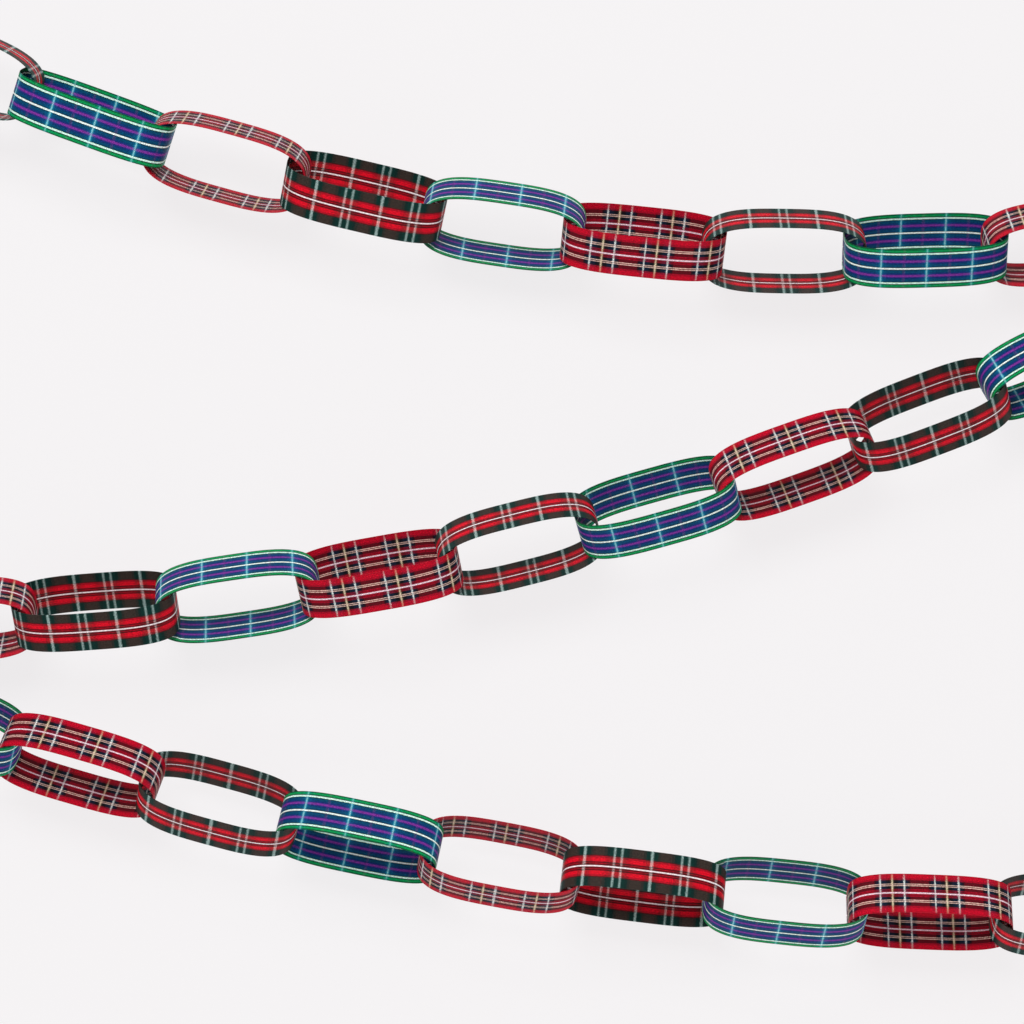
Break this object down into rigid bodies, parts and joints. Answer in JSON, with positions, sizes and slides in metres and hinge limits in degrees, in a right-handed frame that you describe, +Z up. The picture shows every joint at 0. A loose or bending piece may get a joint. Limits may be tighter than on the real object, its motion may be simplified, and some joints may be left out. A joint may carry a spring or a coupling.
{
  "type": "paper chain garland",
  "caption": "Hanging garland of flat card strips, each bent into an oval loop and threaded through the next, draped in three slack passes.",
  "frame": {"origin": "the point inside the end of the first loop where the garland hangs on its top left hook", "axes": "+X to the right along the passes, +Y away from the front, +Z up"},
  "size_m": [0.7165, 0.0563, 0.4745],
  "materials": {
    "green_tartan_card": "smooth printed card with a light sheen, green, blue and purple tartan on both sides",
    "red_tartan_card": "smooth printed card with a light sheen, red, navy, white and yellow tartan on both sides",
    "dark_tartan_card": "smooth printed card with a light sheen, dark green and red tartan with a white centre line on both sides"
  },
  "bodies": {
    "root": {"bottom_loop_1_green": "green_tartan_card", "bottom_loop_2_red": "red_tartan_card", "bottom_loop_3_dark": "dark_tartan_card", "bottom_loop_4_green": "green_tartan_card", "bottom_loop_5_red": "red_tartan_card", "bottom_loop_6_dark": "dark_tartan_card", "bottom_loop_7_green": "green_tartan_card", "bottom_loop_8_red": "red_tartan_card", "bottom_loop_9_dark": "dark_tartan_card", "left_turn_lower_dark": "dark_tartan_card", "left_turn_upper_green": "green_tartan_card", "middle_loop_1_green": "green_tartan_card", "middle_loop_2_dark": "dark_tartan_card", "middle_loop_3_red": "red_tartan_card", "middle_loop_4_green": "green_tartan_card", "middle_loop_5_dark": "dark_tartan_card", "middle_loop_6_red": "red_tartan_card", "middle_loop_7_green": "green_tartan_card", "middle_loop_8_dark": "dark_tartan_card", "middle_loop_9_red": "red_tartan_card", "right_turn_dark": "dark_tartan_card", "top_loop_1_dark": "dark_tartan_card", "top_loop_2_green": "green_tartan_card", "top_loop_3_red": "red_tartan_card", "top_loop_4_dark": "dark_tartan_card", "top_loop_5_green": "green_tartan_card", "top_loop_6_red": "red_tartan_card", "top_loop_7_dark": "dark_tartan_card", "top_loop_8_green": "green_tartan_card", "top_loop_9_red": "red_tartan_card"}
  },
  "joints": []
}
